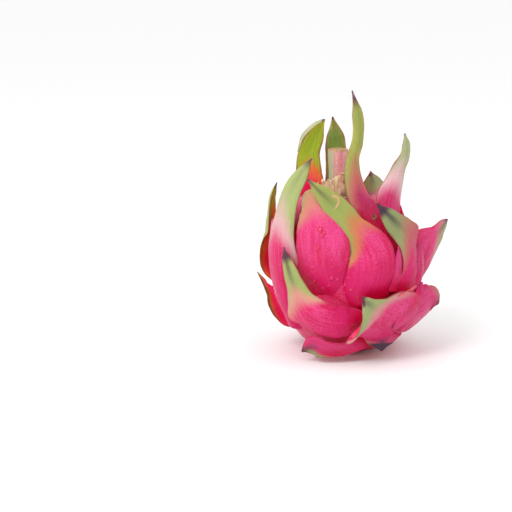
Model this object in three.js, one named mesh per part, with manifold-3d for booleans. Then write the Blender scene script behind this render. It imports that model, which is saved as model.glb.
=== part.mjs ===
// A whole dragon fruit: a leaning oval body clad in fleshy bracts, the cut stump of its flower
// standing in the crown, and the dry scrap of flower round the stump's foot.
// Millimetres, +Z up, the front of the fruit faces -Y, the origin is under the middle of its box.
import * as THREE from "three";
import { mergeVertices } from "three/addons/utils/BufferGeometryUtils.js";
import Module from "manifold-3d";

// ---- Driving dimensions ------------------------------------------------------------------------

// The body's axis leans: it moves this far along X for each millimetre of height.
const AXIS_LEAN = -0.084;
const AXIS_CENTRE_HEIGHT = 43;

// The body under the bracts as [radius, height], from the flat resting spot to the navel's floor.
const SEAT_RADIUS = 8;
const NAVEL_FLOOR_RADIUS = 9.5;
const NAVEL_FLOOR_HEIGHT = 79;
const BODY_PROFILE = [
  [SEAT_RADIUS, 0], [18, 2.8], [27, 8], [33.5, 17], [37.2, 29], [38.6, 42], [38, 54], [35.5, 64],
  [31, 72.5], [25.5, 78.5], [20, 82], [15.5, 83.5], [12, 82.5], [NAVEL_FLOOR_RADIUS, NAVEL_FLOOR_HEIGHT],
];
const BODY_SIDES = 32;

// A bract is a blade that grows along a spine. Its cross-section is cupped round the body.
const BRACT_ROW_SPACING = 7.5;
const BRACT_ROWS_MIN = 7;
const BRACT_CUP = 0.3; // how far the edges fall back, as a share of the half-width
const BRACT_THICKNESS = 0.28; // at the midrib, as a share of the half-width
const BRACT_MIDRIB_MIN = 1.3;
const BRACT_EDGE_THICKNESS = 0.7;
const JOIN_TOLERANCE = 0.06; // slivers that the joins leave are smoothed away within this distance
const CROSS_STATIONS = [-1, -0.5, 0, 0.5, 1]; // across a face, -1 and 1 are its edges

// The bracts that have a shape of their own. Each spine point is [azimuth, reach, height, half-width]:
// azimuth in degrees from the front, positive to the right, and reach from the leaning axis.
// faces is the way that the outer face looks, as [azimuth, elevation] in degrees.
const SHAPED_BRACTS = [
  { name: "front_right_pad", faces: [8, -8], spine: [[7.1, 36.3, 27.6, 8], [13, 41.1, 36.1, 11.8],
    [17.5, 44, 45.1, 12.6], [19.8, 45.2, 54, 12.4], [18.5, 44.3, 61.2, 11.5],
    [14.3, 42.6, 66.9, 9.3], [8.3, 40.9, 71.9, 7.6], [1, 39.6, 79.7, 7], [-5.7, 38.8, 85.2, 5.9],
    [-13.2, 38.3, 90.4, 3.8], [-22.3, 37.8, 96.4, 0.6]] },
  { name: "front_left_pad", faces: [-16, 5], spine: [[-8.3, 36.4, 33.9, 7], [-11.9, 39.4, 41.8, 12],
    [-14.9, 41.4, 53.5, 14.5], [-14.8, 41.6, 66, 14.5], [-16.8, 38.9, 76.8, 12.8],
    [-21.6, 36, 83.4, 9.5], [-27.1, 33.1, 86.8, 6], [-31.1, 31, 89, 2.5]] },
  { name: "left_tongue", faces: [-38, -10], spine: [[-56.4, 34.4, 14, 6], [-54, 39.1, 28.1, 9.6],
    [-52, 42.2, 46, 11.6], [-49.7, 43.3, 61.9, 9], [-46.7, 40.9, 75.2, 6.8], [-42.7, 36.1, 89, 5.6],
    [-34.2, 32, 98, 3.8], [-22.9, 29, 106, 0.6]] },
  { name: "low_left_tongue", faces: [-22, -8], spine: [[15.3, 34.2, 20.6, 6], [6.6, 39.3, 22.5, 7],
    [-2.1, 42, 22.7, 8.6], [-11.9, 44.5, 23.3, 9.6], [-21.1, 47.2, 26.8, 9.8],
    [-27.7, 48.6, 32.6, 8.6], [-32.6, 48.1, 41.7, 5.6], [-36.1, 47.6, 50.1, 4],
    [-38.7, 46.8, 57, 2.4], [-40.1, 45.7, 61.4, 0.6]] },
  { name: "left_hook", faces: [-130, -5], spine: [[-102, 37, 36, 8], [-103, 43.3, 43, 8.8],
    [-103, 44.2, 50, 8.6], [-103, 43.3, 55.5, 7.6], [-104, 42, 62, 6.5], [-103, 40.2, 70, 5.3],
    [-102, 38.7, 77, 4.1], [-101, 36.5, 83, 2.9], [-100.5, 33, 88.7, 0.6]] },
  { name: "low_left_spur", faces: [-140, -20], spine: [[-94, 29, 13.4, 8], [-96.5, 35.3, 17, 9],
    [-98.5, 40, 22.4, 8], [-99.5, 42.3, 27.7, 5], [-99, 44.3, 32, 2], [-99, 45.8, 35.4, 1.1],
    [-98.4, 48, 39.7, 0.6]] },
  { name: "narrow_fold", faces: [38, -5], spine: [[36, 44, 38, 4], [38.5, 46, 47, 3.5],
    [39.5, 46.5, 56, 3], [39, 46, 62, 0.6]] },
  { name: "right_tongue", faces: [40, -8], spine: [[45.7, 44.3, 32.8, 7], [44.9, 46.6, 41.7, 6],
    [45.6, 48.6, 50.2, 4.8], [46, 48.9, 59.1, 5], [44.8, 47.5, 66.8, 6.2], [37.6, 45.4, 75, 5.6],
    [31.6, 44, 80.4, 2.9], [27, 43.2, 84.4, 0.6]] },
  { name: "right_fold", faces: [55, -5], spine: [[52, 45.5, 37, 4], [58, 46, 44.5, 4.5],
    [61.5, 46, 53, 4], [63, 46, 61, 3], [62.5, 45.4, 65.6, 1]] },
  { name: "right_spur", faces: [45, -15], spine: [[69, 36.3, 33.1, 5], [69.6, 40.1, 40.8, 5.8],
    [70.3, 44.4, 48.5, 6.8], [71.2, 48.1, 56.1, 7.4], [72.4, 51.3, 62.4, 7.4],
    [73.9, 54, 67.1, 5.4], [74.9, 55.8, 70, 3.4], [75.9, 57.3, 72, 0.6]] },
  { name: "right_back_tongue", faces: [28, -5], spine: [[58, 34, 50, 7], [55, 36, 62, 7],
    [53, 33.5, 73, 6.4], [57, 32.2, 82, 7.6], [62, 33.5, 90, 6.4], [66, 36, 98, 4.4],
    [68.5, 39.2, 105, 3.1], [68.5, 40.4, 111.5, 2.2], [68, 39.8, 117.3, 0.6]] },
  { name: "tall_tongue", faces: [20, 0], spine: [[42, 36, 38, 8], [38, 41.5, 52, 8],
    [33, 39.5, 67, 7.5], [25, 33, 81, 6.4], [23, 25, 91, 5.4], [26, 21, 102, 4], [40, 20, 114, 3.3],
    [44, 20, 126, 3], [41, 18, 139, 0.6]] },
  { name: "back_left_tongue", faces: [-165, 10], spine: [[-145, 30, 66, 8], [-144, 28, 80, 8.2],
    [-141.5, 25.5, 93, 7.4], [-142.5, 24.5, 103, 6.3], [-152, 21, 113, 4.6],
    [-164, 15.5, 121.2, 0.6]] },
  { name: "back_tongue", faces: [180, 10], spine: [[180, 27, 74, 7], [180, 22, 86, 7],
    [179, 19, 102, 6], [178, 17, 113, 4.7], [180, 14, 122.5, 0.6]] },
  { name: "back_right_tab", faces: [20, 0], spine: [[146, 33, 62, 8], [143, 32, 76, 8],
    [142, 30, 84.5, 6.2], [139, 27, 92.5, 0.6]] },
  { name: "collar", faces: [24, -12], spine: [[35, 36, 12, 9], [29, 42, 19, 16],
    [22.9, 46.5, 27.1, 21], [17.7, 48.5, 31.3, 13], [13.4, 48.8, 34.7, 5.5],
    [9.5, 48.7, 37.2, 1.2]] },
  { name: "low_right_fold", faces: [48, -20], spine: [[40, 40.7, 17, 5], [49, 43, 23, 5.5],
    [54.5, 44.7, 30, 5.5], [58, 45.5, 36, 3.5], [60, 46, 40.6, 1]] },
  { name: "low_right_curl", faces: [48, -22], spine: [[39.4, 38.8, 20.9, 7],
    [50.5, 40.9, 21.9, 12.4], [62.4, 43.1, 24.7, 14.5], [69.7, 46.2, 27.3, 11],
    [72.4, 48, 27.8, 6.6], [73.7, 49.9, 27.4, 1]] },
  { name: "front_skirt", faces: [-14, -6], spine: [[28.5, 30.7, 12.8, 3], [16.7, 32.4, 11.3, 3],
    [4, 34.1, 9.2, 3.4], [-8.7, 36.4, 7.3, 3.8], [-19.9, 38.8, 7.4, 4.8], [-28.2, 39.7, 8.6, 5.8],
    [-34.4, 40, 7.1, 3.4], [-38.7, 41, 5.5, 0.6]] },
  { name: "under_tip", faces: [24, -10], spine: [[36, 33, 22, 8], [29, 36.6, 15.5, 10],
    [26.5, 37, 10, 6], [26, 36.7, 6, 0.6]] },
];

// The other bracts are alike: broad pads whose tips stand off the body by their flare. They close
// the back and the underside, ring by ring, each ring's bracts over the gaps of the ring below.
const PLAIN_RINGS = [
  { height: 8.5, length: 14, flare: 58, halfWidth: 12, pad: 9, standOff: 2.8,
    bracts: [[116, -3], [160, 4], [-158, -4], [-116, 3]] },
  { height: 26, length: 25, flare: 38, halfWidth: 16.5, pad: 20, standOff: 3.4,
    bracts: [[133, 12], [177, -12], [-139, 10]] },
  { height: 47, length: 31, flare: 25, halfWidth: 16, pad: 23, standOff: 3.4,
    bracts: [[153, 12], [-160, -12]] },
  { height: 46, length: 15, flare: 9, halfWidth: 15, pad: 24, standOff: 3.2,
    bracts: [[110, 12], [-124, 4]] },
  { height: 52, length: 14, flare: -6, halfWidth: 11, pad: 20, standOff: 2.4,
    bracts: [[86, 10]] },
  { height: 65, length: 16, flare: 2, halfWidth: 14, pad: 22, standOff: 2.8,
    bracts: [[140, 4]] },
  { height: 65, length: 25, flare: 2, halfWidth: 14, pad: 22, standOff: 2.8,
    bracts: [[178, -12], [-138, -10]] },
  { height: 62, length: 15, flare: -12, halfWidth: 13, pad: 22, standOff: 2.4,
    bracts: [[-66, 16]] },
  { height: 72, length: 15, flare: -40, halfWidth: 11, pad: 14, standOff: 2,
    bracts: [[18, 6], [108, 8], [152, 6], [-158, -8], [-108, 8]] },
];

// How a plain bract's spine and widths run, with widths as shares of its half-width.
const PLAIN_FOOT_SINK = 2.5; // its foot starts this far under the body's skin
const PLAIN_FOOT_WIDTH = 0.6;
const PLAIN_FOOT_LOWEST = 1; // no foot starts lower than this, and no belly lies lower than the next
const PLAIN_BELLY_LOWEST = 2;
const PLAIN_BELLY_SHARE = 0.45; // the belly lies this share of the pad below the bract's own height
const PLAIN_BELLY_INSET = 0.8;
const PLAIN_BELLY_WIDTH = 0.95;
const PLAIN_STEEP_FLARE = 30; // from this flare on, a bract looks further downwards
const PLAIN_FACES_LOW = -35;
const PLAIN_FACES_LEVEL = -15;
// the steps up to the tip: [share of its length, share of its flare, width]
const PLAIN_TIP_STEPS = [[0.3, 0.7, 0.62], [0.66, 1, 0.36]];
const PLAIN_TIP_BEND = 0.9;
const POINT_HALF_WIDTH = 0.6;
const ROOM = 400; // the side of the block above the table that the fruit is cut with

// The cut flower stump: a fleshy tube with a shallow hollow in its cut end.
const STUMP_X = -3.6;
const STUMP_FOOT = NAVEL_FLOOR_HEIGHT + 0.3;
const STUMP_TOP = 107.4;
const STUMP_RADIUS = 5.3;
const STUMP_HOLLOW_RADIUS = 4.3;
const STUMP_HOLLOW_DEPTH = 4;
const STUMP_HOLLOW_TAPER = 0.6;
const STUMP_FOOT_INSET = 0.5;
const STUMP_SWELL_HEIGHT = 4;
const STUMP_WAIST_HEIGHT = 96;
const STUMP_WAIST_INSET = 0.2;
const STUMP_SIDES = 24;

// The dry scrap: a torn collar that stands beside the stump, [azimuth, radius, top height] by turns.
const SCRAP_GAP = 0.3;
const SCRAP_WALL = 0.9;
const SCRAP_FLARE = 1.9;
const SCRAP_TEARS = [
  [-118, 6.4, 86.5], [-100, 6.8, 89.5], [-84, 7.2, 87.2], [-66, 7.2, 88.6], [-48, 7, 86.8],
  [-30, 6.9, 90.2], [-14, 6.7, 93.4], [4, 6.6, 91], [18, 6.5, 93], [34, 6.4, 88.4],
];

// ---- Helpers -----------------------------------------------------------------------------------

const wasm = await Module();
wasm.setup();

const radians = THREE.MathUtils.degToRad;

// A place on the fruit from its azimuth in degrees, its reach from the leaning axis and its height.
function place(azimuth, reach, height) {
  const angle = radians(azimuth);
  const axisX = AXIS_LEAN * (height - AXIS_CENTRE_HEIGHT);
  return new THREE.Vector3(axisX + reach * Math.sin(angle), -reach * Math.cos(angle), height);
}

// The body's radius at a height, for bracts that grow from its skin.
function bodyRadius(height) {
  for (let i = 1; i < BODY_PROFILE.length; i++) {
    const [lowRadius, low] = BODY_PROFILE[i - 1];
    const [highRadius, high] = BODY_PROFILE[i];
    if (height <= high) {
      return THREE.MathUtils.mapLinear(height, low, high, lowRadius, highRadius);
    }
  }
  return NAVEL_FLOOR_RADIUS;
}

// Skins closed rings of points, all with the same even count, into one closed solid. Each four-sided
// patch is split along its shorter diagonal, so the two faces of a blade split alike. The end caps
// are strips that join the first half of the ring to the second, which suits a crescent too.
function loft(rings) {
  const count = rings[0].length;
  const points = rings.flat();
  const index = [];
  for (let row = 0; row < rings.length - 1; row++) {
    for (let i = 0; i < count; i++) {
      const a = row * count + i;
      const b = row * count + (i + 1) % count;
      const c = b + count;
      const d = a + count;
      if (points[a].distanceTo(points[c]) < points[b].distanceTo(points[d])) {
        index.push(a, b, c, a, c, d);
      } else {
        index.push(a, b, d, b, c, d);
      }
    }
  }
  const last = (rings.length - 1) * count;
  for (let i = 0; i < count / 2 - 1; i++) {
    const far = count - 1 - i;
    index.push(i, far, i + 1, i + 1, far, far - 1);
    index.push(last + i, last + i + 1, last + far, last + i + 1, last + far - 1, last + far);
  }
  const geometry = new THREE.BufferGeometry().setFromPoints(points);
  geometry.setIndex(index);
  return geometry;
}

function toSolid(geometry) {
  const mesh = new wasm.Mesh({
    numProp: 3,
    vertProperties: new Float32Array(geometry.getAttribute("position").array),
    triVerts: new Uint32Array(geometry.getIndex().array),
  });
  return new wasm.Manifold(mesh);
}

function toGeometry(solid) {
  const mesh = solid.getMesh();
  const geometry = new THREE.BufferGeometry();
  geometry.setAttribute("position", new THREE.BufferAttribute(mesh.vertProperties, 3));
  geometry.setIndex(new THREE.BufferAttribute(mesh.triVerts, 1));
  return geometry;
}

// ---- The body and its bracts -------------------------------------------------------------------

function makeBody() {
  const rings = BODY_PROFILE.map(([radius, height]) => {
    const ring = [];
    for (let i = 0; i < BODY_SIDES; i++) {
      ring.push(place((360 * i) / BODY_SIDES, radius, height));
    }
    return ring;
  });
  return loft(rings);
}

// One cross-section of a bract: the outer face from edge to edge, then the inner face back again.
function bractSection(centre, across, outward, halfWidth) {
  const midrib = Math.max(BRACT_THICKNESS * halfWidth, BRACT_MIDRIB_MIN);
  const at = (y, thickness) => centre.clone()
    .addScaledVector(across, y * halfWidth)
    .addScaledVector(outward, -BRACT_CUP * y * y * halfWidth - thickness);
  const outer = CROSS_STATIONS.map((y) => at(y, 0));
  const inner = CROSS_STATIONS.map((y) => at(y, THREE.MathUtils.lerp(midrib, BRACT_EDGE_THICKNESS, y * y)));
  return [...outer, ...inner.reverse()];
}

function makeBract({ faces, spine }) {
  const curve = new THREE.CatmullRomCurve3(spine.map((station) => place(...station)));
  const widths = new THREE.SplineCurve(spine.map((station, i) => new THREE.Vector2(i, station[3])));
  const [azimuth, elevation] = faces.map(radians);
  const level = Math.cos(elevation);
  const front = new THREE.Vector3(Math.sin(azimuth) * level, -Math.cos(azimuth) * level, Math.sin(elevation));
  const rows = Math.max(Math.round(curve.getLength() / BRACT_ROW_SPACING), BRACT_ROWS_MIN);
  const sections = [];
  for (let row = 0; row < rows; row++) {
    const t = curve.getUtoTmapping(row / (rows - 1));
    const along = curve.getTangent(t);
    const outward = front.clone().addScaledVector(along, -front.dot(along)).normalize();
    const across = new THREE.Vector3().crossVectors(along, outward);
    sections.push(bractSection(curve.getPoint(t), across, outward, widths.getPoint(t).y));
  }
  return loft(sections);
}

// The spine of a plain bract: a pad that climbs the body, then a tip that stands off by its flare.
function plainBract(ring, azimuth, sideways) {
  const { height, length, flare, halfWidth, pad, standOff } = ring;
  const angle = radians(flare);
  const reach = bodyRadius(height) + standOff;
  const foot = Math.max(height - pad, PLAIN_FOOT_LOWEST);
  const belly = Math.max(height - PLAIN_BELLY_SHARE * pad, PLAIN_BELLY_LOWEST);
  const tip = (share, bend, width) => [
    azimuth + sideways * share,
    reach + share * length * Math.sin(angle * bend),
    height + share * length * Math.cos(angle * bend),
    width,
  ];
  return {
    faces: [azimuth, flare < PLAIN_STEEP_FLARE ? PLAIN_FACES_LEVEL : PLAIN_FACES_LOW],
    spine: [
      [azimuth, bodyRadius(foot) - PLAIN_FOOT_SINK, foot, PLAIN_FOOT_WIDTH * halfWidth],
      [azimuth, bodyRadius(belly) + standOff - PLAIN_BELLY_INSET, belly, PLAIN_BELLY_WIDTH * halfWidth],
      [azimuth, reach, height, halfWidth],
      ...PLAIN_TIP_STEPS.map(([share, bend, width]) => tip(share, bend, width * halfWidth)),
      tip(1, PLAIN_TIP_BEND, POINT_HALF_WIDTH),
    ],
  };
}

// Everything below the table is cut away, and only the one body that holds together is kept.
function makeFruit() {
  const plain = PLAIN_RINGS.flatMap((ring) => ring.bracts.map(([azimuth, sideways]) =>
    plainBract(ring, azimuth, sideways)));
  let fruit = toSolid(makeBody());
  for (const bract of [...SHAPED_BRACTS, ...plain]) {
    fruit = fruit.add(toSolid(makeBract(bract)));
  }
  const room = new THREE.BoxGeometry(ROOM, ROOM, ROOM);
  room.translate(0, 0, ROOM / 2);
  room.deleteAttribute("normal");
  room.deleteAttribute("uv");
  const standing = fruit.intersect(toSolid(mergeVertices(room)));
  const bodies = standing.simplify(JOIN_TOLERANCE).decompose();
  bodies.sort((a, b) => b.volume() - a.volume());
  return toGeometry(bodies[0]);
}

// ---- The flower's remains ----------------------------------------------------------------------

function makeStump() {
  const hollowFloor = STUMP_TOP - STUMP_HOLLOW_DEPTH;
  const profile = [
    [0, STUMP_FOOT], [STUMP_RADIUS - STUMP_FOOT_INSET, STUMP_FOOT],
    [STUMP_RADIUS, STUMP_FOOT + STUMP_SWELL_HEIGHT],
    [STUMP_RADIUS - STUMP_WAIST_INSET, STUMP_WAIST_HEIGHT],
    [STUMP_RADIUS, STUMP_TOP], [STUMP_HOLLOW_RADIUS, STUMP_TOP],
    [STUMP_HOLLOW_RADIUS - STUMP_HOLLOW_TAPER, hollowFloor], [0, hollowFloor],
  ].map(([radius, height]) => new THREE.Vector2(radius, height));
  const stump = new THREE.LatheGeometry(profile, STUMP_SIDES);
  stump.rotateX(Math.PI / 2);
  return stump;
}

function makeScrap() {
  const foot = NAVEL_FLOOR_HEIGHT + SCRAP_GAP;
  const sections = SCRAP_TEARS.map(([azimuth, radius, top]) => {
    const angle = radians(azimuth);
    const outward = new THREE.Vector3(Math.sin(angle), -Math.cos(angle), 0);
    const at = (reach, height) => outward.clone().multiplyScalar(reach).setZ(height);
    const flared = radius + SCRAP_FLARE;
    return [at(radius - SCRAP_WALL, foot), at(flared - SCRAP_WALL, top), at(flared, top), at(radius, foot)];
  });
  return loft(sections);
}

const fruitSkin = new THREE.MeshStandardMaterial({ color: 0xd62d63, roughness: 0.42, metalness: 0 });
const stumpFlesh = new THREE.MeshStandardMaterial({ color: 0xc9897f, roughness: 0.6, metalness: 0 });
const dryScrap = new THREE.MeshStandardMaterial({ color: 0xc7a67c, roughness: 0.9, metalness: 0 });

function named(name, geometry, material) {
  const mesh = new THREE.Mesh(geometry, material);
  mesh.name = name;
  return mesh;
}

// ---- The assembly ------------------------------------------------------------------------------

const fruit = named("fruit", makeFruit(), fruitSkin);
const stump = named("flower_stump", makeStump(), stumpFlesh);
const scrap = named("dry_flower_scrap", makeScrap(), dryScrap);
stump.position.x = STUMP_X;
scrap.position.x = STUMP_X;

// The origin goes under the middle of the fruit's box.
fruit.geometry.computeBoundingBox();
const middle = fruit.geometry.boundingBox.getCenter(new THREE.Vector3());
const dragonFruit = new THREE.Group();
dragonFruit.add(fruit, stump, scrap);
dragonFruit.position.set(-middle.x, -middle.y, 0);

export default dragonFruit;
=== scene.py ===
# %% [markdown]
# # A whole dragon fruit
#
# The fruit is one grown body: a leaning oval, clad in fleshy bracts whose bases swell into pads and
# whose green tips stand away from it. In the crown stand what the flower left: a cut, fleshy stump
# and a scrap of dry, papery petals. We load the plain solids first, and then give each of them the
# fine surface and the finish of the real thing, in the same place and at the same size.

import math
import random

import bmesh
import bpy
from mathutils import Matrix, Vector


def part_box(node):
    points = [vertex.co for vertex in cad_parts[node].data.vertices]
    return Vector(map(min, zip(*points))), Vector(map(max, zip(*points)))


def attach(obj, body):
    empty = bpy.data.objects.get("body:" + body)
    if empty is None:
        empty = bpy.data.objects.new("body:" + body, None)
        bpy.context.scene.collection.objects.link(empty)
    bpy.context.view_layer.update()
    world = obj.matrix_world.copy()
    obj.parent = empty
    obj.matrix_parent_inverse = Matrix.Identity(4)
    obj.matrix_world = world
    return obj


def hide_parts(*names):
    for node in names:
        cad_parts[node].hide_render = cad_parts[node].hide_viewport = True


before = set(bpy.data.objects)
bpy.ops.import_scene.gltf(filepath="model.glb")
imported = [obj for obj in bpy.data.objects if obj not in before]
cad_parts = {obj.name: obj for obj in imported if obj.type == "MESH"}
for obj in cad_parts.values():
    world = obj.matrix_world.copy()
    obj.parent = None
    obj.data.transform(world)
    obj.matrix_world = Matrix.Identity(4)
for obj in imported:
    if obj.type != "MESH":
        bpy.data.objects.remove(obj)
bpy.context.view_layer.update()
print("solids:", sorted(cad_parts))

# %% [markdown]
# ## Millimetres and the leaning axis
#
# Every piece is measured in millimetres, because a bract's rim is less than one thick, and turned
# into metres at the last moment. A place on the fruit is easiest to say as on a globe: the azimuth
# round the fruit, the reach out from its axis, and the height. The axis leans a little to the left
# as it rises. Its foot is worked out from the flower stump, which stands on it.

# %% Places on the fruit
MM = 0.001
# the axis steps this far sideways for each millimetre of height
AXIS_LEAN = -0.084
AXIS_CENTRE_HEIGHT = 43.0
STUMP_OFFSET_X = -3.6

stump_low, stump_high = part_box("flower_stump")
stump_middle = (stump_low + stump_high) / 2 / MM
AXIS_X = stump_middle.x - STUMP_OFFSET_X
AXIS_Y = stump_middle.y


def place(azimuth, reach, height):
    """A point of the fruit in metres. Azimuth 0 is the front, and 90 is the right-hand side."""
    angle = math.radians(azimuth)
    x = AXIS_X + AXIS_LEAN * (height - AXIS_CENTRE_HEIGHT) + reach * math.sin(angle)
    y = AXIS_Y - reach * math.cos(angle)
    return Vector((x, y, height)) * MM


def direction(azimuth, elevation):
    """A unit vector that looks out from the fruit."""
    a, e = math.radians(azimuth), math.radians(elevation)
    return Vector((math.sin(a) * math.cos(e), -math.cos(a) * math.cos(e), math.sin(e)))


print("the axis stands at", round(AXIS_X, 2), round(AXIS_Y, 2), "mm")

# %% [markdown]
# ## A few habits
#
# Operators act on whatever is selected, as in the window. So each step first makes one piece the
# only selected one, works on it, and, in edit mode, picks the points it needs by their place. Once
# a piece's modifiers do what they should, they are applied, so that its mesh is all there is to it.

# %% Selecting by hand, in code
def only(piece):
    """Make this piece the one that operators act on."""
    bpy.ops.object.select_all(action="DESELECT")
    piece.select_set(True)
    bpy.context.view_layer.objects.active = piece


def pick(piece, wanted):
    """In edit mode, select the points whose place passes the test, and say how many they are."""
    bpy.ops.mesh.select_mode(type="VERT")
    bpy.ops.mesh.select_all(action="DESELECT")
    mesh = bmesh.from_edit_mesh(piece.data)
    for vertex in mesh.verts:
        vertex.select = wanted(vertex.co)
    mesh.select_flush_mode()
    bmesh.update_edit_mesh(piece.data)
    return sum(vertex.select for vertex in mesh.verts)


def apply_all(piece):
    """Make every modifier of a piece part of its mesh."""
    only(piece)
    for modifier in list(piece.modifiers):
        bpy.ops.object.modifier_apply(modifier=modifier.name)


def faces_of(piece):
    """How many triangles a piece has, for the printed notes."""
    return sum(len(polygon.vertices) - 2 for polygon in piece.data.polygons)


# %% [markdown]
# ## One sheet for every bract
#
# All the bracts are the same thing at another size and bend: a thick scale that is cupped round the
# body, with a keel down its back, a smooth inner side and a thin rim. So one sheet is modelled, flat
# on the bench, with its back up. It runs along X from foot to tip, and its half-width is one unit.
# The grid brings its own chart of lengths and widths, which the finish will read later.

# %% The flat sheet
SHEET_ROWS = 22
SHEET_LANES = 8
SHEET_LENGTH = 5.0

bpy.ops.object.select_all(action="DESELECT")
bpy.ops.mesh.primitive_grid_add(x_subdivisions=SHEET_ROWS, y_subdivisions=SHEET_LANES, size=2)
sheet = bpy.context.object
sheet.name = "sheet"
sheet.data.uv_layers[0].name = "blade"
bpy.ops.object.mode_set(mode="EDIT")
bpy.ops.transform.resize(value=(SHEET_LENGTH / 2, 1, 1))
bpy.ops.transform.translate(value=(SHEET_LENGTH / 2, 0, 0))
bpy.ops.object.mode_set(mode="OBJECT")
print("the sheet has", len(sheet.data.vertices), "points")

# %% [markdown]
# All that grows into the peel carries the same list of skins, so that a face still knows its own
# after everything is joined. The inside of a bract is redder and glossier than its back, and its rim
# is drawn as a fine line, so these three have skins of their own. The others wait for later pieces.

# %% The skins
SKIN_NAMES = ("bract back", "bract lining", "bract rim", "body skin", "wet bead", "scar", "dry shred")
BACK, LINING, RIM, CORE, BEAD, SCAR, SHRED = range(len(SKIN_NAMES))

skins = [bpy.data.materials.new(name) for name in SKIN_NAMES]


def give_skins(piece, finish):
    """Give a piece the whole list of skins, and put one of them on all its faces."""
    for skin in skins:
        piece.data.materials.append(skin)
    for polygon in piece.data.polygons:
        polygon.material_index = finish


give_skins(sheet, BACK)
print("skins:", [skin.name for skin in skins])

# %% [markdown]
# The sheet gets its wall from a Solidify modifier. The wall is thickest along the keel and runs out
# to a thin rim: a vertex group says how much of the full thickness each point gets.

# %% The wall and the rim
BLADE_WALL = 0.28
BLADE_RIM = 0.06

thickness = sheet.vertex_groups.new(name="thickness")
for vertex in sheet.data.vertices:
    share = 1 - vertex.co.y**2 * (1 - BLADE_RIM / BLADE_WALL)
    thickness.add([vertex.index], share, "REPLACE")
wall = sheet.modifiers.new("wall", "SOLIDIFY")
wall.thickness = BLADE_WALL
wall.offset = -1
wall.vertex_group = "thickness"
wall.thickness_vertex_group = 0
wall.material_offset = LINING
wall.material_offset_rim = RIM
smooth = sheet.modifiers.new("smooth", "SUBSURF")
smooth.levels = smooth.render_levels = 1
print("modifiers of the sheet:", [modifier.name for modifier in sheet.modifiers])

# %% [markdown]
# ## Cupping the sheet and pulling at it
#
# Each bract is a copy of the sheet. Its lanes are let down towards the edges, which cups it, and its
# middle is raised to a soft keel. Where a real bract has a lip that rolls out, a fold or a torn
# nick, one point is pulled and its neighbours follow by proportional editing, as clay would.

# %% Shaping a copy
BLADE_CUP = 0.3
BLADE_KEEL = 0.05
LANE_SLACK = 0.01


def cup_sheet(piece, cup):
    """Let the lanes of a flat sheet down towards its edges, and raise its keel."""
    for lane in range(SHEET_LANES // 2 + 1):
        away = 2 * lane / SHEET_LANES
        pick(piece, lambda co: abs(abs(co.y) - away) < LANE_SLACK)
        lift = BLADE_KEEL * (1 - away) ** 2 - cup * away**2
        bpy.ops.transform.translate(value=(0, 0, lift))


def pick_index(piece, index):
    """In edit mode, select one point by its number."""
    bpy.ops.mesh.select_all(action="DESELECT")
    mesh = bmesh.from_edit_mesh(piece.data)
    mesh.verts.ensure_lookup_table()
    mesh.verts[index].select = True
    mesh.select_flush_mode()
    bmesh.update_edit_mesh(piece.data)


def pull(piece, along, across, shift, size, falloff="SMOOTH"):
    """Pull the point nearest to a place on the sheet, and let what lies within size follow."""
    aim = Vector((along * SHEET_LENGTH, across, 0))
    nearest = min(piece.data.vertices, key=lambda v: (Vector((v.co.x, v.co.y, 0)) - aim).length).index
    pick_index(piece, nearest)
    bpy.ops.transform.translate(value=shift, use_proportional_edit=True,
        proportional_edit_falloff=falloff, proportional_size=size)


# %% [markdown]
# ## Bending it along its spine
#
# A bract's shape is mostly the line that it grows along and how wide it is on the way. That is a
# curve with a radius at each point, and the Curve modifier bends the copy along it, so that the
# radius is the half-width. The curve is turned so that its own Z looks the way the bract's back
# does, which settles the roll without a twist. The copy is turned with it, and the turn is applied.

# %% A spine
SPINE_STEPS = 16


def make_spine(stations, faces):
    """A curve through stations of (azimuth, reach, height, half-width), with its Z on faces.
    A fifth number in a station turns the bract about its spine there, in degrees."""
    line = bpy.data.curves.new("spine", "CURVE")
    line.dimensions = "3D"
    line.twist_mode = "Z_UP"
    line.resolution_u = SPINE_STEPS
    line.use_stretch = True
    line.use_deform_bounds = True
    spline = line.splines.new("BEZIER")
    spline.radius_interpolation = "CARDINAL"
    spline.bezier_points.add(len(stations) - 1)
    spine = bpy.data.objects.new("spine", line)
    bpy.context.collection.objects.link(spine)
    spine.rotation_mode = "QUATERNION"
    spine.rotation_quaternion = direction(*faces).to_track_quat("Z", "Y")
    unturn = spine.rotation_quaternion.inverted()
    for point, (azimuth, reach, height, half_width, *turn) in zip(spline.bezier_points, stations):
        point.co = unturn @ place(azimuth, reach, height)
        point.radius = half_width * MM
        point.tilt = math.radians(sum(turn))
        point.handle_left_type = point.handle_right_type = "AUTO"
    return spine


# %% [markdown]
# A bract ripens from its foot up: its base is magenta, its tongue stays green, and between them lies
# a band of orange or of pale wax. Three notes of three numbers say where that happens on each bract:
#
# - ripening: where along it the green begins, how softly, and how much lower on its left side
# - tint: how orange the band is, how pale the band and the green are (below nought, how dark the
#   base is), and how cool the green and the magenta are
# - margin: where the dark tip begins, how strong its streak down the keel, and how dark the edges

# %% Growing a bract
NOTES = {
    "ripening": ("green_from", "softness", "lean"),
    "tint": ("warm", "pale", "cool"),
    "margin": ("tip_from", "streak", "dark_edge"),
}
bracts = []


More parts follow.
